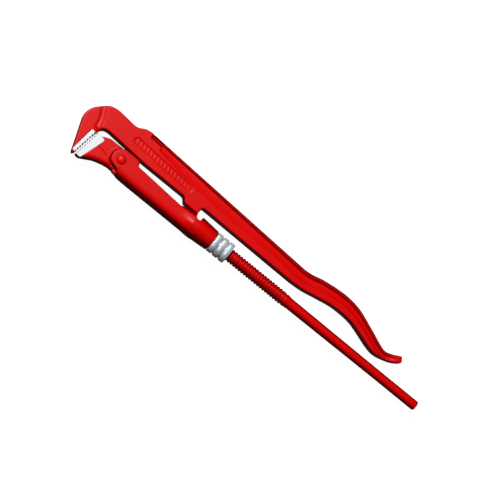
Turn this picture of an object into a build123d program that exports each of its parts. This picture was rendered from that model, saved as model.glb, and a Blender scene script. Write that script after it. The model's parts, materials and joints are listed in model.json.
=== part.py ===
from build123d import *
from math import cos, hypot, radians, sin, sqrt
import os

os.makedirs("parts", exist_ok=True)

# A 90 degree pipe wrench for pipes up to 1 1/2 inch, lying flat on its side.
# +X runs along the threaded rod towards the end of its round handle, +Y points
# from the rod to the beam, and +Z is up. Every outline is measured from the
# handle pivot, on the rod's axis.

# ---- driving dimensions, in millimetres ----------------------------------

# Whole tool, from the handle pivot
hook_back = 135.0            # hook's back, in front of the pivot
rod_end = 287.0              # end of the round handle, behind the pivot
crown_height = 43.8          # highest point of the beam above the rod's axis
jaw_drop = 20.2              # lowest point of the jaws below the rod's axis

# Upper arm forging
beam_thickness = 14.0
hook_thickness = 12.0
beam_underside = 16.4        # above the rod's axis, behind the lug
beam_rear_height = 35.0      # top of the beam where the handle's bend starts
bend_start = 121.0           # where the straight beam turns into the bent handle
handle_reach = 129.5         # from there to the tail's end
handle_width = 17.6          # width of the bent handle at its crest
rim_width = 2.2              # rim left standing along the top of the beam
web_depth = 2.2              # depth of the hollow under that rim, each side
web_width = 7.0
panel_length = 76.0          # plain sunk panel on each side of the beam
panel_width = 6.5
panel_depth = 0.5

# Lug under the beam and the handle's hinge
lug_bottom = 9.9
lug_half_length = 7.4
tongue_thickness = 5.0
pivot_pin_radius = 3.0
tongue_wall = 2.4            # round the pin's hole
tongue_side_clearance = 0.15  # between the tongue and the rod's fork, each side
pin_recess = 0.2             # the pin's ends stand below the rod's head by this much
running_clearance = 0.05     # radial, between a pin and the hole that turns on it

# Rod: hinged head, thread, round handle
thread_radius = 6.55
thread_pitch = 3.25
thread_depth = 0.85
thread_start = 16.0
head_relief = 0.15           # the rod's hinged head is thinner than the thread by this
thread_end = 124.5
runout_length = 5.5
handle_start_radius = 5.5
handle_end_radius = 4.9
handle_taper_end = 234.0     # from here to the end the handle is cylindrical
handle_end_round = 1.8

# Sleeve that slides on the rod
bore_clearance = 0.3         # between the rod's thread and the sleeve's bore
sleeve_radius = 12.0
collar_wall = 1.24           # outside the retaining ring's groove
sleeve_rear = 34.5
sleeve_half_width = 10.0     # flat cheeks
bulkhead = 5.0               # between the fork's slot and the blind end of the bore
channel_slot_clearance = 0.7
slide_clearance = 0.7        # between the fork's top and the beam above it
channel_top_front = 9.0      # height of the channel's walls at its front
channel_top_rear = 5.6
notch_front = 8.0
notch_rear = 14.2
cone_front = 16.0            # where the collar starts to narrow

# Fork and jaw pivot
jaw_pivot_set_back = 54.7    # behind the hook's back
jaw_pivot_y = 3.6
boss_radius = 10.6
slot_end_gap = 1.9           # between the jaw's round tongue and the slot's end
jaw_tongue_thickness = 8.0
fork_side_clearance = 0.2
rivet_radius = 3.5
rivet_head_overhang = 1.1
rivet_head_height = 1.5
jaw_gap_at_boss = 0.4        # between the jaw's shoulder and the fork's round end
tongue_set_back = 1.2        # of the jaw's tongue inside the fork's round end
stop_clearance = 0.1         # between the jaw's heel and its stop

# Tooth plates
tooth_pitch = 3.15
tooth_depth = 1.3
plate_width = 12.4           # across the tool, in Z
upper_root_thickness = 4.8
upper_tip_thickness = 4.0
lower_root_thickness = 7.4
lower_tip_thickness = 4.0
plate_corner = 1.8
lower_plate_corner = 3.0
seat_back = 1.5              # the forgings stand back from the teeth by this much

# Adjusting nut and its retaining ring
nut_front_gap = 0.6          # between the sleeve's collar and the nut's first ring
nut_length = 19.5
nut_ring_height = 1.9        # of the nut's rings above its neck
nut_groove_depth = 1.2
nut_groove_width = 1.9
nut_rings = 3
nut_edge = 0.8
spigot_wall = 1.97           # of the nut's front neck, inside the collar
spigot_length = 7.0
spigot_clearance = 0.06
spigot_end_gap = 0.4         # between the neck's front end and the collar's inner step
ring_wire_radius = 0.7
ring_set_back = 2.4          # behind the neck's front end
ring_gap_angle = 30.0
ring_groove_slack = 0.15     # of the neck's groove round the wire
nut_thread_clearance = 0.08

# Leaf spring behind the jaw's tongue
spring_thickness = 0.7
spring_width = 7.4
spring_foot_bottom = -9.5
spring_foot_top = -2.5
spring_tip_height = 0.0
spring_tip_gap = 0.23        # between the spring's tip and the jaw's tongue
spring_rivet_radius = 1.2
spring_rivet_length = 3.4
spring_rivet_height = -6.5
spring_rivet_head_height = 0.8
spring_rivet_head_overhang = 0.9

# ---- places worked out from those dimensions ------------------------------

pivot_x = (hook_back - rod_end) / 2
pivot_y = (jaw_drop - crown_height) / 2
pivot_z = max(sleeve_radius, sleeve_half_width + rivet_head_height)
tool = Plane(origin=(pivot_x, pivot_y, pivot_z))
rod_axis = Axis((pivot_x, pivot_y, pivot_z), (1, 0, 0))
across = Plane(origin=(pivot_x, pivot_y, pivot_z), x_dir=(0, 1, 0), z_dir=(1, 0, 0))
tall = hook_back + rod_end   # longer than any cut needs

head = -hook_back            # x of the hook's back
jaw_pivot_x = head + jaw_pivot_set_back
jaw_pivot = (jaw_pivot_x, jaw_pivot_y)
tongue_disc = boss_radius - tongue_set_back
fork_slot_end = jaw_pivot_x + tongue_disc + slot_end_gap
slot_half = jaw_tongue_thickness / 2 + fork_side_clearance

tongue_radius = pivot_pin_radius + tongue_wall
channel_front = fork_slot_end + bulkhead
channel_half = tongue_thickness / 2 + channel_slot_clearance
bore_radius = thread_radius + bore_clearance

nut_bore = thread_radius + nut_thread_clearance
spigot_radius = nut_bore + spigot_wall
counterbore_radius = spigot_radius + spigot_clearance
ring_outer = counterbore_radius + ring_wire_radius
ring_inner = spigot_radius - ring_wire_radius
ring_x = sleeve_rear - spigot_length + ring_set_back
sleeve_rear_radius = ring_outer + collar_wall
nut_radius = spigot_radius + nut_ring_height
rivet_head_radius = rivet_radius + rivet_head_overhang

upper_root = (head + 19.3, 9.0)
upper_tip = (head + 15.7, 2.4 - jaw_drop)
lower_root = (head + 21.4, 10.6)
lower_tip = (head + 17.0, 1.9 - jaw_drop)
boss_top = jaw_pivot_y + boss_radius
slot_roof = boss_top + slide_clearance


def along(start, end, distance, side=0.0):
    """Return the point this far from start towards end, and this far to its right."""
    length = hypot(end[0] - start[0], end[1] - start[1])
    ux = (end[0] - start[0]) / length
    uy = (end[1] - start[1]) / length
    return (start[0] + ux * distance + uy * side, start[1] + uy * distance - ux * side)


def heading(start, end):
    """Return the direction from start to end, as a unit vector."""
    length = hypot(end[0] - start[0], end[1] - start[1])
    return ((end[0] - start[0]) / length, (end[1] - start[1]) / length)


def tooth_line(root, tip, side):
    """Return the zigzag of a tooth plate's face; side is where the plate's body lies."""
    length = hypot(tip[0] - root[0], tip[1] - root[1])
    count = round((length - tooth_pitch) / tooth_pitch)
    first = (length - count * tooth_pitch) / 2
    points = [root]
    for i in range(count):
        points.append(along(root, tip, first + i * tooth_pitch, side * tooth_depth))
        points.append(along(root, tip, first + (i + 0.5) * tooth_pitch))
    points.append(along(root, tip, first + count * tooth_pitch, side * tooth_depth))
    points.append(tip)
    return points


def plate_back(root, tip, root_thickness, tip_thickness, side):
    """Return the two rear corners of a tooth plate, at its tip and at its root."""
    length = hypot(tip[0] - root[0], tip[1] - root[1])
    rear_tip = along(root, tip, length, side * tip_thickness)
    rear_root = along(root, tip, 0, side * root_thickness)
    return [rear_tip, rear_root]


# ---- tooth plates ---------------------------------------------------------

upper_back = plate_back(upper_root, upper_tip, upper_root_thickness, upper_tip_thickness, 1)
with BuildPart() as upper_tooth_plate:
    with BuildSketch(tool.offset(-plate_width / 2)):
        with BuildLine():
            Polyline(*tooth_line(upper_root, upper_tip, 1), *upper_back, close=True)
        make_face()
        for corner in upper_back:
            fillet(vertices().sort_by_distance(corner)[0], plate_corner)
    extrude(amount=plate_width)
upper_tooth_plate.part.label = "upper_tooth_plate"
export_step(upper_tooth_plate.part, "parts/upper_tooth_plate.step")

lower_back = plate_back(lower_root, lower_tip, lower_root_thickness, lower_tip_thickness, -1)
with BuildPart() as lower_tooth_plate:
    with BuildSketch(tool.offset(-plate_width / 2)):
        with BuildLine():
            Polyline(*tooth_line(lower_root, lower_tip, -1), *lower_back, close=True)
        make_face()
        fillet(vertices().sort_by_distance(lower_back[1])[0], lower_plate_corner)
        fillet(vertices().sort_by_distance(lower_back[0])[0], plate_corner)
    extrude(amount=plate_width)
lower_tooth_plate.part.label = "lower_tooth_plate"
export_step(lower_tooth_plate.part, "parts/lower_tooth_plate.step")

# ---- upper arm: hook, beam, bent handle and lug ---------------------------

tail_end = bend_start + handle_reach
crest_x = bend_start + 46.0
crest_y = beam_rear_height + 6.1
crest_under = crest_y - handle_width
valley_x = bend_start + 107.0
valley_y = beam_rear_height - 11.9
beam_top_rear = (bend_start, beam_rear_height)
crown = (head + 65.0, crown_height)
handle_top = [(bend_start + 23.0, crest_y - 2.2), (crest_x, crest_y), (crest_x + 19.5, crest_y - 2.3),
              (valley_x - 20.0, valley_y + 7.8), (valley_x, valley_y), (valley_x + 9.0, valley_y + 1.4)]
tail_top = (tail_end - 3.6, valley_y + 5.9)
tail_bottom = (tail_end, valley_y + 2.2)
hook_tip = along(upper_root, upper_tip, 28.2, seat_back)
hook_root = along(upper_root, upper_tip, -1.0, seat_back)
back_low = (head + 9.9, 4.8 - jaw_drop)
back_high = (head + 0.3, 14.5)
head_top = (head + 24.0, crown_height - 3.8)
neck = (head + 46.5, crown_height - 5.4)
throat = (head + 28.5, slot_roof + 2.8)
cheek_step = [(head + 25.0, upper_root[1] + 1.1), (head + 17.5, 14.0), (head + 15.5, 23.0),
              (head + 9.0, 34.5), (head + 7.0, 2 * crown_height)]

with BuildPart() as upper_arm:
    with BuildSketch(tool.offset(-beam_thickness / 2)):
        with BuildLine():
            Spline(hook_tip, (hook_tip[0] - 2.4, -jaw_drop + 1.0), back_low,
                   tangents=[(-0.3, -1), heading(back_low, back_high)])
            Line(back_low, back_high)
            Spline(back_high, (head + 3.4, crown_height - 16.2), (head + 12.7, crown_height - 7.1), head_top,
                   tangents=[heading(back_low, back_high), heading(head_top, neck)])
            Line(head_top, neck)
            Spline(neck, (head + 55.0, crown_height - 1.1), crown,
                   tangents=[(0.8, 0.6), heading(crown, beam_top_rear)])
            Line(crown, beam_top_rear)
            Spline(beam_top_rear, *handle_top, tail_top,
                   tangents=[heading(crown, beam_top_rear), (1, 0.8)])
            Line(tail_top, tail_bottom)
            Spline(tail_bottom, (valley_x + 18.2, valley_y - 0.8), (valley_x + 11.4, valley_y - 5.0),
                   (valley_x - 3.0, valley_y - 9.9), (valley_x - 14.0, valley_y - 8.4),
                   (crest_x + 27.0, crest_under - 2.4), (crest_x + 15.0, crest_under),
                   (crest_x - 3.3, crest_under), (bend_start + 25.0, beam_underside + 4.0),
                   (bend_start + 10.0, beam_underside + 1.1), (bend_start - 4.0, beam_underside))
            Polyline((bend_start - 4.0, beam_underside),
                     (lug_half_length + 0.6, beam_underside + 1.2),
                     (lug_half_length, lug_bottom),
                     (-lug_half_length - 1.4, lug_bottom),
                     (-lug_half_length - 5.6, slot_roof),
                     (head + 73.0, slot_roof),
                     throat,
                     (head + 24.5, slot_roof + 2.1),
                     (head + 21.4, slot_roof - 0.9),
                     hook_root,
                     hook_tip)
        make_face()
    extrude(amount=beam_thickness)
    # The hook's cheeks are lower than the beam's, each behind a small step.
    for side in (-1, 1):
        with BuildSketch(tool.offset(side * hook_thickness / 2)):
            with BuildLine():
                Polyline((2 * head, -2 * crown_height), (head + 25.0, -2 * crown_height), *cheek_step,
                         (2 * head, 2 * crown_height), close=True)
            make_face()
        extrude(amount=side * beam_thickness, mode=Mode.SUBTRACT)
    # A hollow runs under the rim along the top of the beam and the bent handle.
    for side in (-1, 1):
        with BuildSketch(tool.offset(side * (beam_thickness / 2 - web_depth))):
            with BuildLine():
                hollow_start = (head + 63.0, crown_height - rim_width - 1.6)
                upper = [(x, y - rim_width) for x, y in [beam_top_rear, *handle_top[:-1]]]
                lower = [(x, y - rim_width - web_width) for x, y in [beam_top_rear, *handle_top[:-1]]]
                hollow_end = (valley_x - 3.0, valley_y - rim_width)
                Polyline(hollow_start, (head + 66.0, crown_height - rim_width), upper[0])
                Spline(*upper, hollow_end)
                Line(hollow_end, lower[-1])
                Spline(*reversed(lower))
                Polyline(lower[0], (head + 72.0, crown_height - rim_width - web_width), hollow_start)
            make_face()
        extrude(amount=side * beam_thickness, mode=Mode.SUBTRACT)
        # Plain sunk panel along the beam.
        with BuildSketch(tool.offset(side * (beam_thickness / 2 - panel_depth))):
            with Locations((head + 85.4, (crown_height + beam_underside) / 2 - 4.0)):
                SlotOverall(panel_length, panel_width, rotation=-3.2)
        extrude(amount=side * panel_depth * 3, mode=Mode.SUBTRACT)
    # Seat of the tooth plate.
    with BuildSketch(tool.offset(-beam_thickness)):
        with BuildLine():
            Polyline(upper_root, upper_tip, *upper_back, close=True)
        make_face()
        for corner in upper_back:
            fillet(vertices().sort_by_distance(corner)[0], plate_corner)
    extrude(amount=2 * beam_thickness, mode=Mode.SUBTRACT)
    # Thin tongue that carries the handle's hinge, inside the sleeve's channel.
    with BuildSketch(tool.offset(-tongue_thickness / 2)):
        Circle(tongue_radius)
        with Locations((0, lug_bottom / 2 + 0.5)):
            Rectangle(2 * tongue_radius, lug_bottom + 1.0)
    extrude(amount=tongue_thickness)
    with BuildSketch(tool.offset(-tongue_thickness)):
        Circle(pivot_pin_radius)
    extrude(amount=2 * tongue_thickness, mode=Mode.SUBTRACT)
upper_arm.part.label = "upper_arm"
export_step(upper_arm.part, "parts/upper_arm.step")

# ---- handle pivot pin -----------------------------------------------------

head_radius = thread_radius - head_relief
pin_length = 2 * (sqrt(head_radius ** 2 - pivot_pin_radius ** 2) - pin_recess)
with BuildPart() as handle_pivot_pin:
    with BuildSketch(tool.offset(-pin_length / 2)):
        Circle(pivot_pin_radius)
    extrude(amount=pin_length)
handle_pivot_pin.part.label = "handle_pivot_pin"
export_step(handle_pivot_pin.part, "parts/handle_pivot_pin.step")

# ---- lower handle: one bar with hinged head, thread and round handle -------

thread_root = thread_radius - thread_depth
flank = thread_depth * 0.5
land = thread_pitch / 2 - flank
turns = int((thread_end - thread_start) / thread_pitch)

with BuildPart() as lower_handle:
    with BuildSketch(tool):
        with BuildLine():
            Line((thread_start, 0), (-head_radius, 0))
            ThreePointArc((-head_radius, 0),
                          (-head_radius * sin(radians(45)), head_radius * cos(radians(45))),
                          (0, head_radius))
            ridge = [(0, head_radius), (thread_start - 2.0, head_radius),
                     (thread_start - 1.2, thread_root)]
            for i in range(turns):
                x = thread_start + i * thread_pitch
                ridge.append((x, thread_root))
                ridge.append((x + flank, thread_radius))
                ridge.append((x + flank + land, thread_radius))
                ridge.append((x + 2 * flank + land, thread_root))
            thread_stop = ridge[-1][0] + land
            ridge.append((thread_stop, thread_root))
            ridge.append((thread_stop + 0.8, thread_radius - 0.2))
            ridge.append((thread_stop + 2.6, thread_radius - 0.3))
            ridge.append((thread_stop + runout_length, handle_start_radius))
            ridge.append((handle_taper_end, handle_end_radius))
            ridge.append((rod_end - handle_end_round, handle_end_radius))
            Polyline(*ridge)
            shoulder = handle_end_radius - handle_end_round
            ThreePointArc((rod_end - handle_end_round, handle_end_radius),
                          (rod_end - handle_end_round * (1 - sin(radians(45))),
                           shoulder + handle_end_round * sin(radians(45))),
                          (rod_end, shoulder))
            Polyline((rod_end, shoulder), (rod_end, 0), (thread_start, 0))
        make_face()
    revolve(axis=rod_axis)
    # Fork around the arm's tongue.
    with BuildSketch(tool.offset(-tongue_thickness / 2 - tongue_side_clearance)):
        with Locations((-thread_radius, 0)):
            Rectangle(2 * (thread_radius + tongue_radius + 1.2), 4 * thread_radius)
    extrude(amount=tongue_thickness + 2 * tongue_side_clearance, mode=Mode.SUBTRACT)
    with BuildSketch(tool.offset(-2 * thread_radius)):
        Circle(pivot_pin_radius + running_clearance)
    extrude(amount=4 * thread_radius, mode=Mode.SUBTRACT)
lower_handle.part.label = "lower_handle"
export_step(lower_handle.part, "parts/lower_handle.step")

# ---- sleeve ---------------------------------------------------------------

block_rear = channel_front - 1.0

with BuildPart() as sleeve:
    # Flat-sided block and channel, seen from the side.
    with BuildSketch(tool.offset(-sleeve_half_width)):
        with Locations(jaw_pivot):
            Circle(boss_radius)
        with BuildLine():
            Polyline((jaw_pivot_x, boss_top), (block_rear - 1.0, boss_top - 0.2),
                     (block_rear, boss_top - 1.2), (block_rear + 1.2, channel_top_front),
                     (-10.0, channel_top_rear), (notch_front, channel_top_rear + 1.2),
                     (cone_front, channel_top_rear + 1.2), (cone_front, -sleeve_radius),
                     (fork_slot_end - 1.0, -sleeve_radius), (jaw_pivot_x + 2.7, 2.4 - sleeve_radius),
                     (jaw_pivot_x + 2.7, jaw_pivot_y - boss_radius + 0.4), jaw_pivot, close=True)
        make_face()
    extrude(amount=2 * sleeve_half_width)
    # Round belly.
    with BuildSketch(across.offset(-tall)):
        Circle(sleeve_radius)
        with Locations((sleeve_radius, 0)):
            Rectangle(2 * sleeve_radius, 2 * sleeve_half_width)
    extrude(amount=2 * tall, mode=Mode.INTERSECT)
    # Round collar at the rear.
    with BuildSketch(tool):
        with BuildLine():
            Polyline((notch_front - 2.0, 0), (notch_front - 2.0, sleeve_radius),
                     (cone_front, sleeve_radius), (sleeve_rear - 0.8, sleeve_rear_radius),
                     (sleeve_rear, sleeve_rear_radius - 0.8), (sleeve_rear, 0), close=True)
        make_face()
    revolve(axis=rod_axis)
    # Notch between the channel and the collar.
    notch_radius = (notch_rear - notch_front) / 2
    with BuildSketch(tool.offset(-2 * sleeve_radius)):
        with Locations((notch_front + notch_radius, channel_top_rear + notch_radius)):
            Circle(notch_radius)
        with Locations((notch_front + notch_radius - 2.0, 3 * sleeve_radius)):
            Rectangle(2 * notch_radius + 4.0, 2 * (3 * sleeve_radius - channel_top_rear - notch_radius))
    extrude(amount=4 * sleeve_radius, mode=Mode.SUBTRACT)
    # Bore for the rod, blind at the front, and the counterbore for the nut's neck.
    with BuildSketch(across.offset(channel_front)):
        Circle(bore_radius)
    extrude(amount=sleeve_rear - channel_front + 1.0, mode=Mode.SUBTRACT)
    with BuildSketch(across.offset(sleeve_rear - spigot_length - spigot_end_gap)):
        Circle(counterbore_radius)
    extrude(amount=spigot_length + 1.0, mode=Mode.SUBTRACT)
    with BuildSketch(across.offset(ring_x - ring_wire_radius)):
        Circle(ring_outer)
    extrude(amount=2 * ring_wire_radius, mode=Mode.SUBTRACT)
    # Slot along the top of the channel for the arm's tongue.
    with BuildSketch(tool.offset(-channel_half)):
        with Locations(((channel_front + notch_rear) / 2, 2 * sleeve_radius)):
            Rectangle(notch_rear - channel_front, 4 * sleeve_radius)
    extrude(amount=2 * channel_half, mode=Mode.SUBTRACT)
    # Fork for the lower jaw, and the hole for its rivet.
    with BuildSketch(tool.offset(-slot_half)):
        with Locations((fork_slot_end - boss_radius - tongue_disc, 0)):
            Rectangle(2 * (boss_radius + tongue_disc), tall)
    extrude(amount=2 * slot_half, mode=Mode.SUBTRACT)
    with BuildSketch(tool.offset(-2 * sleeve_half_width)):
        with Locations(jaw_pivot):
            Circle(rivet_radius)
    extrude(amount=4 * sleeve_half_width, mode=Mode.SUBTRACT)
    # Hole for the spring's rivet.
    with BuildSketch(across.offset(fork_slot_end - 1.0)):
        with Locations((spring_rivet_height, 0)):
            Circle(spring_rivet_radius)
    extrude(amount=spring_rivet_length + 1.0, mode=Mode.SUBTRACT)
sleeve.part.label = "sleeve"
export_step(sleeve.part, "parts/sleeve.step")

# ---- lower jaw ------------------------------------------------------------

shoulder_radius = boss_radius + jaw_gap_at_boss
heel_x = fork_slot_end - stop_clearance
heel_angle = radians(25)
tongue_low = (jaw_pivot_x + tongue_disc * cos(heel_angle), jaw_pivot_y - tongue_disc * sin(heel_angle))
lower_seat_root = along(lower_root, lower_tip, 3.0, -seat_back - 2.5)
lower_seat_tip = along(lower_root, lower_tip, 28.0, -seat_back)
belly = (head + 46.0, -9.8)
chin = (head + 23.6, 1.5 - jaw_drop)

with BuildPart() as lower_jaw:
    with BuildSketch(tool.offset(-hook_thickness / 2)):
        with BuildLine():
            Polyline(lower_seat_root, (head + 30.4, 10.4), (head + 36.0, boss_top - 0.3),
                     (head + 46.3, boss_top), (jaw_pivot_x - 2.0, boss_top - 0.3), jaw_pivot,
                     (jaw_pivot_x + 0.3, belly[1]), belly)
            Spline(belly, (head + 35.2, -12.6), (head + 28.4, 4.1 - jaw_drop), chin,
                   tangents=[(-1, 0), (-0.8, -0.6)])
            Polyline(chin, (head + 19.2, -jaw_drop), lower_seat_tip, lower_seat_root)
        make_face()
    extrude(amount=hook_thickness)
    # Shoulders that pass around the fork's round ends.
    for side in (-1, 1):
        with BuildSketch(tool.offset(side * jaw_tongue_thickness / 2)):
            with Locations(jaw_pivot):
                Circle(shoulder_radius)
        extrude(amount=side * hook_thickness, mode=Mode.SUBTRACT)
    # Tongue between the fork's cheeks, with a heel that stops on the slot's end.
    with BuildSketch(tool.offset(-jaw_tongue_thickness / 2)):
        with Locations(jaw_pivot):
            Circle(tongue_disc)
        with BuildLine():
            Polyline(jaw_pivot, (jaw_pivot_x, belly[1]), (jaw_pivot_x + 4.0, belly[1] + 0.6),
                     (jaw_pivot_x + 6.0, belly[1] + 3.8), close=True)
        make_face()
        with BuildLine():
            Polyline((jaw_pivot_x, jaw_pivot_y + tongue_disc), (heel_x - 2.0, jaw_pivot_y + 8.0),
                     (heel_x, jaw_pivot_y + 7.0), (heel_x, jaw_pivot_y), tongue_low, jaw_pivot, close=True)
        make_face()
    extrude(amount=jaw_tongue_thickness)
    # Seat of the tooth plate.
    with BuildSketch(tool.offset(-hook_thickness)):
        with BuildLine():
            Polyline(lower_root, lower_tip, *lower_back, close=True)
        make_face()
        fillet(vertices().sort_by_distance(lower_back[1])[0], lower_plate_corner)
        fillet(vertices().sort_by_distance(lower_back[0])[0], plate_corner)
    extrude(amount=2 * hook_thickness, mode=Mode.SUBTRACT)
    with BuildSketch(tool.offset(-hook_thickness)):
        with Locations(jaw_pivot):
            Circle(rivet_radius + running_clearance)
    extrude(amount=2 * hook_thickness, mode=Mode.SUBTRACT)
lower_jaw.part.label = "lower_jaw"
export_step(lower_jaw.part, "parts/lower_jaw.step")

# ---- jaw rivet ------------------------------------------------------------

with BuildPart() as jaw_rivet:
    with BuildSketch(tool.offset(-sleeve_half_width)):
        with Locations(jaw_pivot):
            Circle(rivet_radius)
    extrude(amount=2 * sleeve_half_width)
    for side in (-1, 1):
        with BuildSketch(tool.offset(side * sleeve_half_width)):
            with Locations(jaw_pivot):
                Circle(rivet_head_radius)
        extrude(amount=side * rivet_head_height)
    caps = jaw_rivet.edges().filter_by(GeomType.CIRCLE).group_by(Axis.Z)
    fillet(caps[0] + caps[-1], rivet_head_height - 0.1)
jaw_rivet.part.label = "jaw_rivet"
export_step(jaw_rivet.part, "parts/jaw_rivet.step")

# ---- adjusting nut and its retaining ring ---------------------------------

nut_front = sleeve_rear + nut_front_gap
nut_rear = nut_front + nut_length
nut_ring_width = (nut_length - (nut_rings - 1) * nut_groove_width) / nut_rings
groove_half = ring_wire_radius + ring_groove_slack

with BuildPart() as adjusting_nut:
    with BuildSketch(tool):
        with BuildLine():
            outline = [(sleeve_rear - spigot_length, nut_bore),
                       (sleeve_rear - spigot_length, spigot_radius),
                       (ring_x - groove_half, spigot_radius),
                       (ring_x - groove_half, ring_inner - ring_groove_slack),
                       (ring_x + groove_half, ring_inner - ring_groove_slack),
                       (ring_x + groove_half, spigot_radius),
                       (nut_front, spigot_radius)]
            for i in range(nut_rings):
                x = nut_front + i * (nut_ring_width + nut_groove_width)
                outline.append((x, nut_radius - nut_edge))
                outline.append((x + nut_edge, nut_radius))
                outline.append((x + nut_ring_width - nut_edge, nut_radius))
                outline.append((x + nut_ring_width, nut_radius - nut_edge))
                if i < nut_rings - 1:
                    outline.append((x + nut_ring_width, nut_radius - nut_groove_depth))
                    outline.append((x + nut_ring_width + nut_groove_width,
                                    nut_radius - nut_groove_depth))
            outline.append((nut_rear, nut_bore))
            Polyline(*outline, close=True)
        make_face()
    revolve(axis=rod_axis)
adjusting_nut.part.label = "adjusting_nut"
export_step(adjusting_nut.part, "parts/adjusting_nut.step")

with BuildPart() as nut_retaining_ring:
    with BuildSketch(across.offset(ring_x - ring_wire_radius)):
        Circle(ring_outer)
        Circle(ring_inner, mode=Mode.SUBTRACT)
        with BuildLine():
            reach = 2 * ring_outer
            half_gap = radians(ring_gap_angle / 2)
            Polyline((0, 0), (-reach * cos(half_gap), reach * sin(half_gap)),
                     (-reach * cos(half_gap), -reach * sin(half_gap)), close=True)
        make_face(mode=Mode.SUBTRACT)
    extrude(amount=2 * ring_wire_radius)
nut_retaining_ring.part.label = "nut_retaining_ring"
export_step(nut_retaining_ring.part, "parts/nut_retaining_ring.step")

# ---- leaf spring and its rivet --------------------------------------------

spring_front = fork_slot_end - spring_thickness
tip_share = (jaw_pivot_y - spring_tip_height) / (jaw_pivot_y - tongue_low[1])
spring_tip_x = heel_x + (tongue_low[0] - heel_x) * tip_share + spring_tip_gap
with BuildPart() as leaf_spring:
    with BuildSketch(tool.offset(-spring_width / 2)):
        with BuildLine():
            Polyline((fork_slot_end, spring_foot_bottom), (fork_slot_end, spring_foot_top),
                     (spring_tip_x + spring_thickness, spring_tip_height - spring_thickness),
                     (spring_tip_x + spring_thickness, spring_tip_height),
                     (spring_tip_x, spring_tip_height),
                     (spring_tip_x, spring_tip_height - spring_thickness),
                     (spring_front, spring_foot_top - spring_thickness),
                     (spring_front, spring_foot_bottom), close=True)
        make_face()
    extrude(amount=spring_width)
    with BuildSketch(across.offset(fork_slot_end - 3 * spring_thickness)):
        with Locations((spring_rivet_height, 0)):
            Circle(spring_rivet_radius)
    extrude(amount=4 * spring_thickness, mode=Mode.SUBTRACT)
leaf_spring.part.label = "leaf_spring"
export_step(leaf_spring.part, "parts/leaf_spring.step")

with BuildPart() as spring_rivet:
    with BuildSketch(across.offset(spring_front)):
        with Locations((spring_rivet_height, 0)):
            Circle(spring_rivet_radius)
    extrude(amount=spring_thickness + spring_rivet_length)
    with BuildSketch(across.offset(spring_front - spring_rivet_head_height)):
        with Locations((spring_rivet_height, 0)):
            Circle(spring_rivet_radius + spring_rivet_head_overhang)
    extrude(amount=spring_rivet_head_height)
spring_rivet.part.label = "spring_rivet"
export_step(spring_rivet.part, "parts/spring_rivet.step")
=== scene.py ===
# %% [markdown]
# # A pipe wrench in red enamel
# The wrench is three forgings, a threaded bar, a knurled nut, a rivet and two tooth plates.
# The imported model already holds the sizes, the joints and the small hidden pieces. This lesson
# dresses it: each forging is made again with the soft edges that a drop hammer and a coat of
# enamel leave.
# %%
import json
import math
import bpy
import numpy as np
from mathutils import Matrix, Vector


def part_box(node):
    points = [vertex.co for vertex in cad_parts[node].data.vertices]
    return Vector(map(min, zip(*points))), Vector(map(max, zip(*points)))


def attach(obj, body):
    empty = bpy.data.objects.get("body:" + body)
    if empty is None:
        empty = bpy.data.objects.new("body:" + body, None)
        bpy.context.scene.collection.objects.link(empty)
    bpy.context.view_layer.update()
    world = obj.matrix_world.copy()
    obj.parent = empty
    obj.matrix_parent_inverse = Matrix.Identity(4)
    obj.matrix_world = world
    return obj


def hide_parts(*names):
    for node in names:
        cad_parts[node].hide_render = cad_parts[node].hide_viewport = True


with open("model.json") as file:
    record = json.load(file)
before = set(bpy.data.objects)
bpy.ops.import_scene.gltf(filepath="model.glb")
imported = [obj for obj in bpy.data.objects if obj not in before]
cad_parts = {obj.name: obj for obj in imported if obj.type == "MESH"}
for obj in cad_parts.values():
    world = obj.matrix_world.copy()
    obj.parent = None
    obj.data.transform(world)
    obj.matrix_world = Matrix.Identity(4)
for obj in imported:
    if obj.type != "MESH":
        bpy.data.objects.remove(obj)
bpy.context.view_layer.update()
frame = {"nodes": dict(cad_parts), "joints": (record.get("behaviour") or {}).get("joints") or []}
joints = {joint["name"]: joint for joint in frame["joints"]}
nodes = frame["nodes"]

# %% [markdown]
# ## Where things are
# Shapes are written in millimetres from the handle's hinge, which lies on the rod's axis:
# x runs along the rod to the end of the round handle, y points at the beam, z is up.
# The hinge, the jaw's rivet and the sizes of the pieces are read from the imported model.
# %%
MM = 0.001
hinge = np.array(joints["handle_pivot"]["pos_m"])


def local_box(node):
    """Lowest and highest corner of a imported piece, in millimetres from the hinge."""
    low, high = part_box(node)
    return (np.array(low) - hinge) / MM, (np.array(high) - hinge) / MM


arm_low, arm_high = local_box("upper_arm")
rod_high = local_box("lower_handle")[1]
sleeve_low, sleeve_high = local_box("sleeve")
jaw_low, jaw_high = local_box("lower_jaw")
nut_low, nut_high = local_box("adjusting_nut")
rivet_high = local_box("jaw_rivet")[1]
rivet = (np.array(joints["jaw_pivot"]["pos_m"]) - hinge)[:2] / MM
print("arm from", arm_low.round(1), "to", arm_high.round(1), "rivet at", rivet.round(1))

# %% [markdown]
# ## Distance as clay
# A forging has no sharp edge, and its walls run into each other through wide fillets. Bevels
# along every edge of a mesh would be slow to tune, so the forgings are written as distance
# fields instead: a formula says how far a point is from the surface, and two shapes are
# joined with a rounded minimum, which leaves the fillet by itself.
# %%


def curve(points, steps=8):
    """Smooth line through the points: a Catmull-Rom cubic between each pair of them."""
    p = np.array(points, float)
    p = np.vstack([2 * p[0] - p[1], p, 2 * p[-1] - p[-2]])
    t = (np.arange(steps) / steps)[None, :, None]
    a, b, c, d = (p[i:len(p) - 3 + i, None, :] for i in range(4))
    line = 0.5 * (2 * b + (c - a) * t + (2 * a - 5 * b + 4 * c - d) * t ** 2
                  + (3 * b - a - 3 * c + d) * t ** 3)
    return np.vstack([line.reshape(-1, 2), p[-2]])


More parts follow.
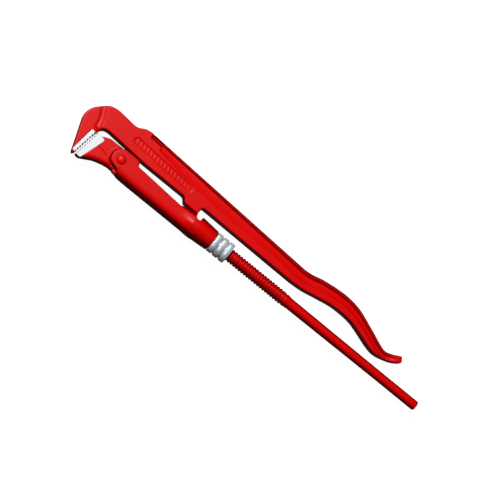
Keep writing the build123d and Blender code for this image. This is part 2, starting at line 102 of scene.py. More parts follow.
def soft_loop(pieces, softness, spacing=1.0):
    """Closed outline from pieces of line, evenly stepped, its corners eased by a Gaussian."""
    loop = np.vstack([np.atleast_2d(np.array(p, float)) for p in pieces])
    loop = np.vstack([loop, loop[:1]])
    run = np.concatenate([[0], np.cumsum(np.hypot(*np.diff(loop, axis=0).T))])
    count = int(run[-1] / spacing)
    at = np.linspace(0, run[-1], count, endpoint=False)
    even = np.stack([np.interp(at, run, loop[:, i]) for i in (0, 1)])
    wave = np.fft.rfftfreq(count, run[-1] / count)
    ease = np.exp(-2 * (math.pi * wave * softness) ** 2)
    return np.fft.irfft(np.fft.rfft(even) * ease, count).T


def outline_distance(x, y, loop):
    """Distance from (x, y) to a closed outline, negative inside it: the nearest point of any
    of its edges, and inside where a line to the left crosses the outline an odd number of times."""
    x, y = np.broadcast_arrays(x, y)
    batch = 8000
    shape = x.shape
    px, py = x.reshape(-1, 1), y.reshape(-1, 1)
    ax, ay = loop[:, 0], loop[:, 1]
    bx, by = np.roll(ax, -1), np.roll(ay, -1)
    ux, uy = bx - ax, by - ay
    length_squared = ux * ux + uy * uy + 1e-12
    out = np.empty(len(px))
    for i in range(0, len(px), batch):
        dx, dy = px[i:i + batch] - ax, py[i:i + batch] - ay
        t = np.clip((dx * ux + dy * uy) / length_squared, 0, 1)
        near = ((dx - ux * t) ** 2 + (dy - uy * t) ** 2).min(1)
        above, crosses = py[i:i + batch] >= ay, py[i:i + batch] >= by
        left = (dx * uy - dy * ux) * np.sign(uy) < 0
        odd = ((above != crosses) & left).sum(1) % 2
        out[i:i + batch] = np.sqrt(near) * np.where(odd, -1, 1)
    return out.reshape(shape)


def slab(side, top, edge):
    """Solid where both distances are negative, with a round of radius edge between them."""
    a, b = np.maximum(side + edge, 0), np.maximum(top + edge, 0)
    return np.minimum(np.maximum(side, top) + edge, 0) + np.hypot(a, b) - edge


def join(a, b, fillet):
    """Union of two solids, with a fillet where they meet."""
    h = np.clip(0.5 + 0.5 * (b - a) / fillet, 0, 1)
    return b + (a - b) * h - fillet * h * (1 - h)


def cut(a, b, fillet):
    """Solid a without solid b, its new edge rounded."""
    return -join(-a, b, fillet)


def ramp(value, start, end):
    """0 before start and 1 after end, easing in and out between."""
    t = np.clip((value - start) / (end - start), 0, 1)
    return t * t * (3 - 2 * t)


# %% [markdown]
# ## From distance to mesh
# The field is sampled on a grid of small cells. Each cell that the surface passes through
# gets one vertex, at the middle of its crossings, and each grid edge that is crossed gets one
# face between its four cells. Then every vertex slides down the field's slope in three steps,
# to where the distance is close to zero, so the enamel reflects smoothly. Where a wall or a
# crease is thinner than a cell, the surface can touch itself or leave a crumb: the arm and the
# jaw have a few such spots.
# %%


def mesh_object(name, vertices, faces):
    """Object from vertices in millimetres from the hinge, and faces of four corners."""
    mesh = bpy.data.meshes.new(name)
    mesh.vertices.add(len(vertices))
    mesh.vertices.foreach_set("co", (vertices * MM + hinge).astype(np.float32).ravel())
    mesh.loops.add(faces.size)
    mesh.loops.foreach_set("vertex_index", faces.ravel().astype(np.int32))
    mesh.polygons.add(len(faces))
    starts = np.arange(0, faces.size, faces.shape[1], dtype=np.int32)
    mesh.polygons.foreach_set("loop_start", starts)
    mesh.update(calc_edges=True)
    mesh.validate()
    mesh.shade_smooth()
    piece = bpy.data.objects.new(name, mesh)
    bpy.context.scene.collection.objects.link(piece)
    print(name, len(vertices), "vertices", len(faces), "faces")
    return piece


def skin(name, field, low, high, cell):
    """Surface where field is zero, inside a box, by cells of that size."""
    axes = [np.arange(a - 2 * cell, b + 3 * cell, cell) for a, b in zip(low, high)]
    value = field(axes[0][:, None, None], axes[1][None, :, None], axes[2][None, None, :])
    cells = tuple(n - 1 for n in value.shape)
    total, count = np.zeros(cells + (3,)), np.zeros(cells)
    quads = []
    for axis in range(3):
        v = np.moveaxis(value, axis, 0)
        here, there = v[:-1], v[1:]
        crossed = (here < 0) != (there < 0)
        at = np.argwhere(crossed)
        share = here[crossed] / (here[crossed] - there[crossed])
        others = [i for i in range(3) if i != axis]
        index = np.empty_like(at)
        index[:, axis], index[:, others[0]], index[:, others[1]] = at.T
        point = np.stack([axes[i][index[:, i]] for i in range(3)], 1)
        point[:, axis] += share * cell
        corners = []
        for du, dv in ((0, 0), (1, 0), (1, 1), (0, 1)):
            c = index.copy()
            c[:, others[0]] -= du
            c[:, others[1]] -= dv
            np.add.at(total, tuple(c.T), point)
            np.add.at(count, tuple(c.T), 1)
            corners.append(np.ravel_multi_index(tuple(c.T), cells))
        quad = np.stack(corners, 1)
        flip = (here[crossed] < 0) == (axis == 1)
        quad[flip] = quad[flip][:, ::-1]
        quads.append(quad)
    used = np.flatnonzero(count)
    number = np.full(count.size, -1)
    number[used] = np.arange(len(used))
    p = total.reshape(-1, 3)[used] / count.reshape(-1)[used][:, None]
    faces = number[np.vstack(quads)]
    nudge, flattest, longest = 0.02, 0.3, 0.3 * cell
    for _ in range(3):
        f = field(*p.T)
        slope = np.stack([(field(*(p + nudge * np.eye(3)[i]).T) - f) / nudge for i in range(3)], 1)
        step = f[:, None] * slope / np.maximum((slope ** 2).sum(1), flattest)[:, None]
        p -= np.clip(step, -longest, longest)
    return mesh_object(name, p, faces)


# %% [markdown]
# ## The upper arm's outline
# The arm is one bar of steel, bent into a hook at one end and an S at the other. Its side
# view is written as a few smooth stretches joined by straight ones, clockwise from the tip
# of the hook.
# %%
upper_root, upper_tip = (-115.0, 9.0), (-118.9, -17.8)
slot_roof, beam_under, crown = 14.9, 16.4, arm_high[1]
bend = (121.0, 35.0)
crest = (167.0, 41.1)
valley = (228.0, 23.1)
tail = arm_high[0]

hook_back = curve([(-119.8, -19.6), (-121.0, -20.0), (-122.5, -18.8), (-123.8, -15.4)])
head_corner = curve([(-134.7, 14.0), (-134.8, 19.5), (-131.6, 27.4), (-122.5, 36.5),
                     (-116.5, 39.3), (-110.5, 40.0)])
head_to_crown = curve([(-89.5, 38.3), (-86.5, 39.2), (-79.5, crown - 1.0), (-70.0, crown),
                       (-63.0, crown - 0.3)])
beam_to_tail = curve([(118.0, 35.1), bend, (130.0, 35.8), (144.0, 39.0), crest, (186.5, 38.8),
                      (208.0, 30.9), valley, (237.0, 24.5), (tail - 3.9, 28.9)])
arm_top = np.vstack([head_to_crown, beam_to_tail])
arm_under = curve([(tail - 0.5, 22.9), (245.6, 19.8), (238.6, 16.4), (225.0, 13.2), (214.0, 14.7),
                   (194.0, 21.1), (182.0, 23.5), (163.7, 23.5), (146.0, 20.4), (131.0, 17.5),
                   (117.0, beam_under + 0.1)])
lug = [(8.0, 17.6), (7.4, 9.9), (-8.8, 9.9), (-13.0, slot_roof)]
throat = [(-62.0, slot_roof), (-106.5, 17.7), (-110.5, 17.0), (-113.6, 14.0)]
arm_loop = soft_loop([hook_back, head_corner, arm_top, arm_under, lug, throat], softness=1.0)
print("outline of", len(arm_loop), "points")

# %% [markdown]
# ## The upper arm's section
# On the real arm the beam is thick, the hook is a little thinner, and a hollow runs along
# under the top rim, steep beside the rim and shallow towards the middle. A sunk panel with
# plain ribs lies along the beam. All of that is one function: half the thickness at a place
# of the side view. The hinge's tongue, a web that stands inside the rod's fork, is added to it.
# %%
beam_half, hook_half = arm_high[2], arm_high[2] - 1.0
draft, forged_edge = 0.03, 1.3
hook_side = np.array([(-120.8, 60.0), (-124.7, 34.3), (-118.8, 22.8), (-117.0, 14.3), (-109.0, 12.0),
                      (-109.0, -30.0), (-145.0, -30.0), (-145.0, 60.0)])
step_run, crease_depth, crease_width = 4.8, 0.6, 0.6
top_line = arm_top[2 * 8:]  # the top edge from the crown on, past two stretches of eight steps
hollow_x = [-80.0, -58.5, -57.3, -14.0, 30.0, 90.0, 130.0, 225.0]
hollow_width = [5.6, 5.6, 10.0, 14.0, 14.0, 12.0, 13.0, 8.0]
hollow_depth = [3.6, 3.6, 2.0, 2.0, 2.1, 2.2, 2.4, 2.2]
rim_width = [1.1, 1.1, 1.9, 2.0, 2.2, 2.4, 2.7, 2.3]
rim_drop = 3.0
hollow_start, hollow_end, hollow_bow = (-72.2, -71.2), (tail - 18, tail - 5), 1.6
panel_middle, panel_half, panel_slope = (-46.6, 26.0), (36.4, 3.1), math.tan(math.radians(-3.2))
panel_depth, panel_wall = 0.5, (-0.5, 0.35)
rib_pitch, rib_height, rib_lean = 4.2, 0.15, 0.4
rib_edge, rib_margin = (0.1, 0.7), (0.9, 1.5)
web_top, web_radius, web_half, web_edge, web_fillet = 11.0, 5.4, 2.5, 0.3, 1.2
seat_edge = 0.25


def panel_distance(x, y):
    """Distance to the sunk panel's round-ended outline, and the distance along it."""
    u = (x - panel_middle[0]) + 0 * y
    v = (y - panel_middle[1]) - u * panel_slope
    over = np.maximum(np.abs(u) - (panel_half[0] - panel_half[1]), 0)
    return np.hypot(over, v) - panel_half[1], u


def arm_half_thickness(x, y):
    """Half the thickness: beam, step to the hook, hollow under the rim, sunk panel."""
    from_hook = outline_distance(x, y, hook_side)
    half = hook_half + (beam_half - hook_half) * np.clip(from_hook / step_run + 0.5, 0, 1)
    crease = np.exp(-((np.abs(from_hook) - step_run / 2) / crease_width) ** 2)
    half = half - crease_depth * crease * (y > upper_root[1])
    under = np.interp(x, top_line[:, 0], top_line[:, 1]) - y
    slant = np.interp(x, top_line[:, 0], np.gradient(top_line[:, 1], top_line[:, 0]))
    under = under / np.sqrt(1 + slant ** 2)
    width = np.interp(x, hollow_x, hollow_width)
    depth = np.interp(x, hollow_x, hollow_depth) * (1 - ramp(x, *hollow_end))
    depth = depth * ramp(x, *hollow_start)
    rim = np.interp(x, hollow_x, rim_width)
    wall = np.clip((under - rim) / rim, 0, 1)
    rise = 1 - np.clip((under - 2 * rim) / (width - 2 * rim), 0, 1) ** hollow_bow
    lip = rim_drop * ramp(depth, 0.2, 1.2) * np.clip(1 - under / rim, 0, 1)
    half = half - depth * wall * rise - lip
    panel, along = panel_distance(x, y)
    wave = np.cos(2 * math.pi * (along + rib_lean * y) / rib_pitch)
    ribs = rib_height * ramp(wave, *rib_edge) * ramp(-panel, *rib_margin)
    return half - panel_depth * ramp(-panel, *panel_wall) + ribs


def arm_field(x, y, z):
    """The arm: its outline with a forging's drafted sides, the hinge's tongue, the tooth seat."""
    inset = outline_distance(x, y, arm_loop)
    half = arm_half_thickness(x, y)
    body = slab(inset + draft * np.abs(z), np.abs(z) - half, forged_edge)
    web = np.hypot(x + 0 * y, np.maximum(np.maximum(-y, y - web_top), 0)) - web_radius
    tongue = slab(web, np.abs(z) - web_half, web_edge)
    seat = outline_distance(x, y, upper_seat)
    return cut(join(body, tongue, web_fillet), seat + 0 * z, seat_edge)


# %% [markdown]
# ## Tooth plates
# The teeth are milled in hardened plates let into the hook and the jaw. Each is a zigzag
# profile carried across the tool, with a small bevel that catches the light.
# %%
tooth_pitch, tooth_depth, plate_half, plate_bevel = 3.15, 1.3, arm_high[2] - 0.8, 0.22


def eased(before, corner, after, radius):
    """Corner replaced by a parabola that starts and ends this far from it."""
    t = np.linspace(0, 1, 7)[:, None]
    first = corner + (before - corner) / np.hypot(*(before - corner)) * radius
    last = corner + (after - corner) / np.hypot(*(after - corner)) * radius
    return (1 - t) ** 2 * first + 2 * t * (1 - t) * corner + t ** 2 * last


def plate_profile(root, tip, root_thickness, tip_thickness, side, root_round, tip_round):
    """Corners of a tooth plate seen from the side, and the same without its teeth."""
    root, tip = np.array(root), np.array(tip)
    length = np.hypot(*(tip - root))
    along = (tip - root) / length
    away = side * np.array([along[1], -along[0]])
    count = round((length - tooth_pitch) / tooth_pitch)
    at = (length - count * tooth_pitch) / 2 + np.arange(2 * count + 1) * tooth_pitch / 2
    deep = np.where(np.arange(2 * count + 1) % 2, 0.0, tooth_depth)
    teeth = root + at[:, None] * along + deep[:, None] * away
    rear_root, rear_tip = root + away * root_thickness, tip + away * tip_thickness
    back = np.vstack([eased(tip, rear_tip, rear_root, tip_round),
                      eased(rear_tip, rear_root, root, root_round)])
    return np.vstack([root, teeth, tip, back]), np.vstack([root, tip, back])


def plate(name, profile, half, bevel):
    """Profile carried from -half to half in z, closed at both ends, its edges bevelled."""
    n = len(profile)
    x, y = profile.T
    ends = [np.column_stack([profile, np.full(n, z)]) for z in (-half, half)]
    mesh = bpy.data.meshes.new(name)
    ring = np.arange(n)
    after = np.roll(ring, -1)
    sides = np.stack([ring, after, after + n, ring + n], 1)
    spin = np.sum(x * np.roll(y, -1) - y * np.roll(x, -1))
    faces = [list(ring[::-1]), list(ring + n)] + sides.tolist()
    if spin < 0:
        faces = [face[::-1] for face in faces]
    mesh.from_pydata((np.vstack(ends) * MM + hinge).tolist(), [], faces)
    piece = bpy.data.objects.new(name, mesh)
    bpy.context.scene.collection.objects.link(piece)
    edge = piece.modifiers.new("ground edges", "BEVEL")
    edge.width, edge.segments, edge.limit_method = bevel * MM, 2, "ANGLE"
    edge.harden_normals = True
    print(name, n, "corners", "thickness", round(2 * half, 1), "mm")
    return piece


upper_profile, upper_seat = plate_profile(
    upper_root, upper_tip, root_thickness=4.8, tip_thickness=4.0, side=1, root_round=1.8, tip_round=1.8)
lower_root, lower_tip = (-113.8, 10.4), (-117.9, -18.3)
lower_profile, lower_seat = plate_profile(
    lower_root, lower_tip, root_thickness=10.4, tip_thickness=5.8, side=-1, root_round=3.0, tip_round=1.8)
upper_teeth = plate("upper_teeth", upper_profile, plate_half, plate_bevel)
lower_teeth = plate("lower_teeth", lower_profile, plate_half, plate_bevel)
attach(upper_teeth, "arm")
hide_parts("upper_tooth_plate")
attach(lower_teeth, "jaw")
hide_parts("lower_tooth_plate")

# %% [markdown]
# ## Striking the arm
# The field is now turned into a mesh. Cells of 0.6 mm are finer than the rounding of the
# arm's edges, and leave it with about 183,000 triangles, under the 200,000 past which its
# file would be thinned. The smaller pieces after it can have smaller cells.
# %%
arm_cell, sleeve_cell, jaw_cell, head_cell = 0.6, 0.5, 0.4, 0.45
arm_forging = skin("arm_forging", arm_field, arm_low, arm_high, arm_cell)
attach(arm_forging, "arm")
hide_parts("upper_arm")

# %% [markdown]
# ## The sleeve
# The sleeve is a flat-sided channel with a round belly, a fork in front for the lower jaw and
# a round collar behind for the nut. The rod's bore, the slot for the arm's tongue and the
# notch are cut out of it.
# %%
sleeve_half, sleeve_round, collar_rear = 10.0, 12.0, sleeve_high[0]
sleeve_edge, belly_fillet, collar_edge, collar_fillet = 1.4, 2.0, 0.9, 1.2
collar_front, collar_x = -9.0, [-8.0, 9.0, 16.0, collar_rear]
collar_radius = [8.6, sleeve_round, sleeve_round, 10.6]
boss = 10.6
bore, spigot_bore, spigot_length, bore_edge = 6.85, 8.66, 7.4, 0.3
notch_x, notch_y, notch_radius, notch_edge = 11.1, 8.8, 3.1, 0.8
channel_start, channel_end, fork_end = -64.0, 12.0, -69.0
channel_half, fork_half, slot_edge = 3.2, 4.2, 0.4
angle = np.radians(np.arange(222, 94, -4))
boss_arc = rivet + boss * np.stack([np.cos(angle), np.sin(angle)], 1)
sleeve_side = [(-76.0, rivet[1] + boss - 0.15), (-67.4, 13.9), (-65.2, 12.8), (-63.9, 9.0), (-10.0, 5.7),
               (8.0, 7.0), (16.0, 7.0), (16.0, -14.0), (-71.0, -14.0), (-77.4, -9.4), (-77.6, -6.6)]
sleeve_loop = soft_loop([boss_arc, sleeve_side], softness=0.7)


def sleeve_field(x, y, z):
    """Block and channel, belly, collar, then the bores, slots and notch."""
    side = outline_distance(x, y, sleeve_loop)
    block = slab(side, np.abs(z) - sleeve_half, sleeve_edge)
    belly = np.where(y < 0, np.hypot(y, z), np.abs(z)) - sleeve_round
    block = cut(block, -belly, belly_fillet)
    around = np.hypot(y, z) + 0 * x
    cone = around - np.interp(x, collar_x, collar_radius)
    collar = slab(cone, np.maximum(collar_front - x, x - collar_rear), collar_edge)
    body = np.minimum(join(block, collar, collar_fillet), np.maximum(block, collar))
    notch = np.hypot(x - notch_x, np.minimum(y - notch_y, 0)) - notch_radius + 0 * z
    body = cut(body, notch, notch_edge)
    body = cut(body, np.maximum(around - bore, channel_start - x), bore_edge)
    body = cut(body, np.maximum(around - spigot_bore, collar_rear - spigot_length - x), bore_edge)
    length = np.maximum(channel_start - x, x - channel_end)
    slot = np.maximum(np.maximum(np.abs(z) - channel_half, -y), length)
    fork = np.maximum(np.abs(z) - fork_half, x - fork_end) + 0 * y
    return cut(cut(body, slot, slot_edge), fork, slot_edge)


sleeve_forging = skin("sleeve_forging", sleeve_field, sleeve_low, sleeve_high, sleeve_cell)
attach(sleeve_forging, "carriage")
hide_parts("sleeve")

# %% [markdown]
# ## The lower jaw
# The jaw hangs on its rivet between the fork's cheeks. Its belly is full and round, the side
# above it is set back, and a raised ring follows the round end of the fork.
# %%
jaw_half, tongue_half, tongue_round, heel_height = jaw_high[2], 4.0, 9.4, 7.4
shoulder, rivet_hole = boss + 0.4, 3.55
side_step, side_ease, ring_share, ring_ease = 0.9, (-0.7, 0.7), 0.6, (13.9, 13.1)
jaw_draft, jaw_edge, belly_edge, belly_ease = 0.04, 1.3, 3.2, (3.0, -7.0)
tongue_edge, tongue_fillet, hole_edge = 0.3, 0.2, 0.1
jaw_under = curve([(-80.2, -9.6), (-89.0, -9.8), (-99.8, -12.6), (-106.6, -16.1), (-111.4, -18.7),
                   (-115.6, -20.1)])
jaw_side = [(-116.9, -19.7), (-116.8, -17.5), (-111.0, 9.0), (-105.4, 12.0), (-100.4, 14.1), (-91.0, 14.2),
            (-82.3, 13.9), (-80.3, 12.8), tuple(rivet), (-80.2, -7.0)]
jaw_loop = soft_loop([jaw_under, jaw_side], softness=0.8)
belly_loop = np.array([(-125.0, 4.0), (-103.0, 0.9), (-97.0, -0.1), (-92.0, -1.6), (-89.0, -4.2),
                       (-84.0, -30.0), (-125.0, -30.0)])
toe = np.array([tuple(rivet), (-81.0, -9.6), (-75.6, -10.4), (-72.8, -7.5)])


def jaw_field(x, y, z):
    """Belly, set-back side, ring, shoulders, tongue with its heel, seat and rivet hole."""
    side = outline_distance(x, y, jaw_loop)
    out = np.hypot(x - rivet[0], y - rivet[1])
    upper = ramp(outline_distance(x, y, belly_loop), *side_ease)
    ring = ramp(out, *ring_ease)
    half = jaw_half - upper * (side_step - ring_share * ring)
    edge = jaw_edge + belly_edge * ramp(y, *belly_ease)
    body = slab(side + jaw_draft * np.abs(z), np.abs(z) - half, edge)
    body = cut(body, np.maximum(out - shoulder, tongue_half - np.abs(z)), tongue_edge)
    heel_x = np.maximum(x - (fork_end - 0.1), rivet[0] - x)
    heel_y = np.maximum(rivet[1] - y, y - rivet[1] - heel_height)
    tongue = np.minimum(np.minimum(out - tongue_round, np.maximum(heel_x, heel_y)),
                        outline_distance(x, y, toe))
    tongue = slab(tongue, np.abs(z) - tongue_half, tongue_edge)
    body = join(body, tongue, tongue_fillet)
    body = cut(body, outline_distance(x, y, lower_seat) + 0 * z, seat_edge)
    return cut(body, out - rivet_hole + 0 * z, hole_edge)


jaw_forging = skin("jaw_forging", jaw_field, jaw_low, jaw_high, jaw_cell)
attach(jaw_forging, "jaw")
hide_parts("lower_jaw")

# %% [markdown]
# ## The threaded bar
# The thread is a helix: the radius depends on how far along the rod a point is, less the
# distance that one turn climbs there. A grid of steps along and around the rod is enough,
# and the same grid runs on into the plain round handle. The grid's first and last rings are
# almost points, and stay open by 0.02 mm. Reversed as they are here, the faces of the bar and
# of the nut point into the metal.
# %%
thread_pitch, thread_out, thread_depth = 3.25, rod_high[1], 0.85
thread_start, thread_end, flank, runout = 14.0, 121.0, (0.42, 0.78), 1.5
neck_depth, flare_depth = 0.9, 0.25
handle_start, handle_straight, rod_end = 127.5, 234.0, rod_high[0]
start_radius, end_radius, end_round, pole_radius = 5.5, 4.9, 1.8, 0.01


def tube(x, radius, turns):
    """Surface round the rod's axis, open at its first and last ring. x and radius are rows of
    stations by columns of turns, and a point is (x, radius cos angle, radius sin angle)."""
    rows = x.shape[0]
    angle = 2 * math.pi * np.arange(turns) / turns
    points = np.stack([x + 0 * radius, radius * np.cos(angle), radius * np.sin(angle)], -1).reshape(-1, 3)
    row, column = np.meshgrid(np.arange(rows - 1), np.arange(turns), indexing="ij")
    after = (column + 1) % turns
    faces = np.stack([row * turns + column, row * turns + after,
                      (row + 1) * turns + after, (row + 1) * turns + column], -1).reshape(-1, 4)
    return points, faces


turns = 64
along = np.concatenate([np.arange(thread_start, thread_end + 6.5, 0.25),
                        np.linspace(handle_start + 0.4, rod_end - 1.9, 60)])
neck, flare = thread_out - neck_depth, thread_out - flare_depth
stations = [(thread_start, thread_out), (thread_end, thread_out), (thread_end + 0.6, neck),
            (thread_end + 1.6, neck), (thread_end + 2.6, flare), (handle_start + 1.0, start_radius),
            (handle_straight, end_radius), (rod_end, end_radius)]
base = np.interp(along, *np.transpose(stations))[:, None]
phase = (along[:, None] - thread_pitch * np.arange(turns)[None, :] / turns) / thread_pitch
tooth = np.abs((phase % 1.0) - 0.5) * 2
groove = ramp(tooth, *flank) * thread_depth
radius = base - groove * (1 - ramp(along, thread_end - runout, thread_end))[:, None]
quarter = np.linspace(0, math.pi / 2, 7)[1:]
cap_x = np.concatenate([rod_end - end_round + end_round * np.sin(quarter), [rod_end]])
cap_r = np.concatenate([end_radius - end_round + end_round * np.cos(quarter), [pole_radius]])
along = np.concatenate([[thread_start], along, cap_x])
start_ring = np.full((1, turns), pole_radius)
radius = np.vstack([start_ring, radius, np.repeat(cap_r[:, None], turns, 1)])
points, faces = tube(along[:, None], radius, turns)
threaded_bar = mesh_object("threaded_bar", points, faces[:, ::-1])
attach(threaded_bar, "rod")
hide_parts("lower_handle")


head_round, head_end, head_edge = 6.4, 14.6, 0.3
clevis_half, clevis_end, pin_hole = 2.65, 6.6, 3.05


def bar_head_field(x, y, z):
    """Round-nosed head, forked for the arm's tongue, with the hinge pin's hole."""
    head = np.hypot(np.hypot(y, z), np.minimum(x, 0)) - head_round
    head = slab(head, x - head_end, head_edge)
    fork = np.maximum(np.abs(z) - clevis_half, x - clevis_end) + 0 * y
    return cut(cut(head, fork, head_edge), np.hypot(x, y) - pin_hole + 0 * z, hole_edge)


bar_head = skin("bar_head", bar_head_field, (-6.5, -6.5, -6.5), (15.0, 6.5, 6.5), head_cell)
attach(bar_head, "rod")

# %% [markdown]
# ## The adjusting nut
# Three rings are turned on the nut and pressed with a fine straight knurl. The rings are a
# profile turned round the axis, and the knurl is a ripple in its radius.
# %%
nut_front, nut_rear, nut_out = nut_high[0] - 19.5, nut_high[0], nut_high[1]
nut_bore, nut_neck, nut_shoulder, nut_mouth = 6.66, 8.5, 9.4, 7.6
ring_gap, ring_drop, ring_edge, break_x, break_radius = 1.6, 1.4, 0.5, 0.12, nut_out - 0.25
ring_width, floor_radius = (nut_rear - nut_front - 2 * ring_gap) / 3, nut_out - ring_drop
profile = [(nut_low[0], nut_bore), (nut_low[0], nut_neck), (nut_front - 0.3, nut_neck),
           (nut_front, nut_shoulder)]
for i in range(3):
    x = nut_front + i * (ring_width + ring_gap)
    end = x + ring_width
    profile += [(x, nut_out - ring_edge), (x + break_x, break_radius), (x + ring_edge, nut_out)]
    profile += [(x + ring_width / 2, nut_out)]
    profile += [(end - ring_edge, nut_out), (end - break_x, break_radius), (end, nut_out - ring_edge)]
    if i < 2:
        profile += [(end + 0.1, floor_radius), (end + ring_gap - 0.1, floor_radius)]
profile += [(nut_rear, nut_mouth), (nut_rear - 0.8, nut_bore)]
profile = np.array(profile)
teeth, knurl_depth = 84, 0.16
nut_turns = teeth * 6
around = 2 * math.pi * np.arange(nut_turns) / nut_turns
raised = (profile[:, 1] > nut_out - 0.3)[:, None]
knurl = knurl_depth * np.abs(np.sin(around * teeth / 2))[None, :]
nut_x, nut_radius = profile[:, :1], profile[:, 1:2] - raised * (knurl_depth - knurl)
points, faces = tube(np.vstack([nut_x, nut_x[:1]]), np.vstack([nut_radius, nut_radius[:1]]), nut_turns)
rows = len(profile)  # the last ring is the first one again, so its faces run to the first
faces = np.where(faces >= rows * nut_turns, faces - rows * nut_turns, faces)
knurled_nut = mesh_object("knurled_nut", points[:rows * nut_turns], faces[:, ::-1])
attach(knurled_nut, "nut")
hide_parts("adjusting_nut")

# %% [markdown]
# ## The jaw's rivet
# The rivet is struck over at both ends and painted with the rest: a shank with two low
# domes, made by turning one profile about the rivet's own axis. The profile runs from the top
# down, so here it is the unreversed faces that point into the metal.
# %%
head_radius, shank_radius, cheek, rivet_turns = 4.6, 3.5, sleeve_half, 48
dome = np.linspace(0, math.pi / 2, 9)
head_rise = rivet_high[2] - cheek
rivet_profile = np.vstack([
    np.column_stack([head_radius * np.sin(dome), cheek + head_rise * np.cos(dome)]),
    [(shank_radius, cheek - 0.05), (shank_radius, -cheek + 0.05)],
    np.column_stack([head_radius * np.sin(dome), -cheek - head_rise * np.cos(dome)])[::-1]])
rivet_profile[:, 0] = np.maximum(rivet_profile[:, 0], pole_radius)
rivet_rings = np.repeat(rivet_profile[:, :1], rivet_turns, 1)
points, faces = tube(rivet_profile[:, 1:2], rivet_rings, rivet_turns)
points = points[:, [1, 2, 0]] + [rivet[0], rivet[1], 0]
rivet_dome = mesh_object("rivet_dome", points, faces)
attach(rivet_dome, "carriage")
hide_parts("jaw_rivet")

# %% [markdown]
# ## Enamel and steel
# Red enamel is a coat over a slightly uneven forging: the colour barely changes and a soft
# bump bends the reflections. The colour falls off on the steep sides, by the direction of the
# surface in the piece's own axes. That is painted shade, which draws the dark edges between
# the flat cheeks, and no property of the paint. Bare steel shows its grinding lines, and zinc
# has a cool, faintly cloudy shine.
# %%


def material(name, colour, roughness, metallic=0.0):
    """New material; returns it with its node tree, its shader and its Object coordinates."""
    made = bpy.data.materials.new(name)
    made.use_nodes = True
    tree = made.node_tree
    shader = tree.nodes["Principled BSDF"]
    shader.inputs["Base Color"].default_value = (*colour, 1)
    shader.inputs["Roughness"].default_value = roughness
    shader.inputs["Metallic"].default_value = metallic
    place = tree.nodes.new("ShaderNodeTexCoord").outputs["Object"]
    return made, tree, shader, place


def noise(tree, place, scale, detail=3.0, stretch=(1, 1, 1)):
    """Noise by place, scale in grains per metre, stretched along the axes."""
    mapping = tree.nodes.new("ShaderNodeMapping")
    mapping.inputs["Scale"].default_value = stretch
    tree.links.new(place, mapping.inputs["Vector"])
    texture = tree.nodes.new("ShaderNodeTexNoise")
    texture.inputs["Scale"].default_value = scale
    texture.inputs["Detail"].default_value = detail
    tree.links.new(mapping.outputs["Vector"], texture.inputs["Vector"])
    return texture.outputs["Fac"]


def spread(tree, value, low, high):
    """The value, 0 to 1, spread between low and high: numbers or colours."""
    if isinstance(low, tuple):
        mix = tree.nodes.new("ShaderNodeMix")
        mix.data_type = "RGBA"
        mix.inputs["A"].default_value, mix.inputs["B"].default_value = (*low, 1), (*high, 1)
        tree.links.new(value, mix.inputs["Factor"])
        return mix.outputs["Result"]
    ranger = tree.nodes.new("ShaderNodeMapRange")
    ranger.inputs["To Min"].default_value, ranger.inputs["To Max"].default_value = low, high
    tree.links.new(value, ranger.inputs["Value"])
    return ranger.outputs["Result"]


def bump(tree, shader, height, depth, strength):
    """Bends the shader's normal by height, 0 to 1, which stands for depth in metres."""
    node = tree.nodes.new("ShaderNodeBump")
    node.inputs["Distance"].default_value = depth
    node.inputs["Strength"].default_value = strength
    tree.links.new(height, node.inputs["Height"])
    tree.links.new(node.outputs["Normal"], shader.inputs["Normal"])


def painted_side_shade(tree, colour, share):
    """Painted shade: the colour on flat cheeks, darkened to a share of it on the steep forged sides by the
    surface's direction.
    """
    normal = tree.nodes.new("ShaderNodeTexCoord").outputs["Normal"]
    parts = tree.nodes.new("ShaderNodeSeparateXYZ")
    tree.links.new(normal, parts.inputs["Vector"])
    flat = tree.nodes.new("ShaderNodeMath")
    flat.operation = "ABSOLUTE"
    tree.links.new(parts.outputs["Z"], flat.inputs[0])
    fall = tree.nodes.new("ShaderNodeMapRange")
    fall.interpolation_type = "SMOOTHSTEP"
    for socket, value in (("From Min", 0.6), ("From Max", 0.98), ("To Min", share), ("To Max", 1.0)):
        fall.inputs[socket].default_value = value
    tree.links.new(flat.outputs["Value"], fall.inputs["Value"])
    mix = tree.nodes.new("ShaderNodeMix")
    mix.data_type = "RGBA"
    mix.inputs["A"].default_value = (0, 0, 0, 1)
    tree.links.new(colour, mix.inputs["B"])
    tree.links.new(fall.outputs["Result"], mix.inputs["Factor"])
    return mix.outputs["Result"]


enamel, tree, shader, place = material("red_enamel", (0.7, 0.0, 0.0), 0.36)
shader.inputs["Specular IOR Level"].default_value = 0.14
tint = spread(tree, noise(tree, place, 45), (0.8, 0.0, 0.0), (0.72, 0.0, 0.0))
# Painted shade: the red is darkened on the steep sides, by the direction of the surface.
tree.links.new(painted_side_shade(tree, tint, 0.3), shader.inputs["Base Color"])
tree.links.new(spread(tree, noise(tree, place, 300), 0.28, 0.42), shader.inputs["Roughness"])
bump(tree, shader, noise(tree, place, 420), 0.00012, 0.25)

ground, tree, shader, place = material("ground_steel", (0.80, 0.82, 0.85), 0.4, 0.35)
grain = noise(tree, place, 900, stretch=(1, 1, 0.05))
tree.links.new(spread(tree, grain, (0.58, 0.59, 0.61), (0.68, 0.69, 0.71)), shader.inputs["Base Color"])
tree.links.new(spread(tree, grain, 0.38, 0.55), shader.inputs["Roughness"])
bump(tree, shader, grain, 0.00004, 0.3)

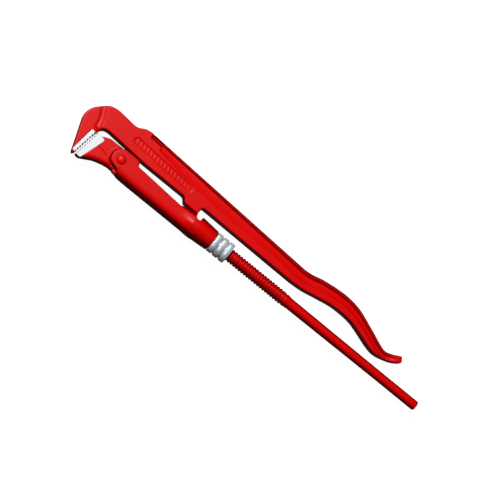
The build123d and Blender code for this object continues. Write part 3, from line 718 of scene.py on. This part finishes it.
zinc, tree, shader, place = material("zinc_plate", (0.66, 0.72, 0.74), 0.4, 0.45)
cloud = noise(tree, place, 160)
tree.links.new(spread(tree, cloud, (0.62, 0.68, 0.70), (0.74, 0.78, 0.82)), shader.inputs["Base Color"])
tree.links.new(spread(tree, cloud, 0.34, 0.5), shader.inputs["Roughness"])
bump(tree, shader, noise(tree, place, 1500), 0.00002, 0.2)

plain, tree, shader, place = material("bright_steel", (0.55, 0.56, 0.58), 0.35, 1.0)
tree.links.new(spread(tree, noise(tree, place, 600), 0.25, 0.45), shader.inputs["Roughness"])

tempered, tree, shader, place = material("spring_steel", (0.12, 0.13, 0.17), 0.4, 1.0)
blueing = spread(tree, noise(tree, place, 200), (0.08, 0.09, 0.14), (0.2, 0.19, 0.2))
tree.links.new(blueing, shader.inputs["Base Color"])


def dress(piece, finish):
    """Gives the piece one material and drops any that it came with."""
    piece.data.materials.clear()
    piece.data.materials.append(finish)


for piece in (arm_forging, sleeve_forging, jaw_forging, threaded_bar, bar_head, rivet_dome):
    dress(piece, enamel)
for piece in (upper_teeth, lower_teeth):
    dress(piece, ground)
dress(knurled_nut, zinc)
for node, finish in (("handle_pivot_pin", plain), ("spring_rivet", plain),
                     ("leaf_spring", tempered), ("nut_retaining_ring", tempered)):
    dress(nodes[node], finish)
print("materials", [m.name for m in bpy.data.materials])

# %% [markdown]
# ## Table, light and camera
# A plain white table, whose white is mostly its own glow, a strong soft light in front and a
# weak one from the beam's side. The table is kept from lighting the tool, which would wash
# out the red. The camera looks almost straight down on the tool, turned so that the rod runs
# down to the right.
# %%
bpy.ops.mesh.primitive_plane_add(size=6.0)
table = bpy.context.object
table.name = "table"
paper, tree, shader, place = material("paper", (0.3, 0.3, 0.3), 0.9)
shader.inputs["Specular IOR Level"].default_value = 0.0
shader.inputs["Emission Color"].default_value = (1, 1, 1, 1)
shader.inputs["Emission Strength"].default_value = 0.97
dress(table, paper)
table.visible_diffuse = False
table.visible_glossy = False

right = np.array([0.774, 0.633, 0.0])
back = np.array([-0.09, -0.21, 0.97])
back /= np.linalg.norm(back)
right -= back * (right @ back)
right /= np.linalg.norm(right)
up = np.cross(back, right)
centre = hinge + np.array([68.2, 16.4, 0.0]) * MM


def aim(thing, place, side, above, behind):
    """Puts a light or camera at a place, turned by its right, up and back directions."""
    turn = np.eye(4)
    turn[:3, 0], turn[:3, 1], turn[:3, 2], turn[:3, 3] = side, above, behind, place
    thing.matrix_world = Matrix(turn.tolist())


camera = bpy.data.objects.new("camera", bpy.data.cameras.new("camera"))
bpy.context.scene.collection.objects.link(camera)
bpy.context.scene.camera = camera
distance, view_width = 1.8, 0.476
sensor = 36.0
camera.data.sensor_width = sensor
camera.data.lens = sensor * distance / view_width
aim(camera, centre + back * distance, right, up, back)


def softbox(name, towards, far, size, power):
    """Square light that far from the tool, in a direction from it, facing it."""
    lamp = bpy.data.objects.new(name, bpy.data.lights.new(name, "AREA"))
    lamp.data.size, lamp.data.energy = size, power
    bpy.context.scene.collection.objects.link(lamp)
    behind = towards / np.linalg.norm(towards)
    side = np.cross([0.0, 0.0, 1.0], behind)
    side /= np.linalg.norm(side)
    aim(lamp, centre + behind * far, side, np.cross(behind, side), behind)


softbox("key", right * 0.3 + up * 1.0 + back * 0.8, 1.8, 0.4, 2.5)
softbox("front", np.array([-0.45, 0.32, 1.0]), 2.6, 0.45, 58)
world = bpy.data.worlds.new("studio")
world.use_nodes = True
world.node_tree.nodes["Background"].inputs["Color"].default_value = (1, 1, 1, 1)
world.node_tree.nodes["Background"].inputs["Strength"].default_value = 0.06
bpy.context.scene.world = world
bpy.context.scene.view_settings.view_transform = "Standard"
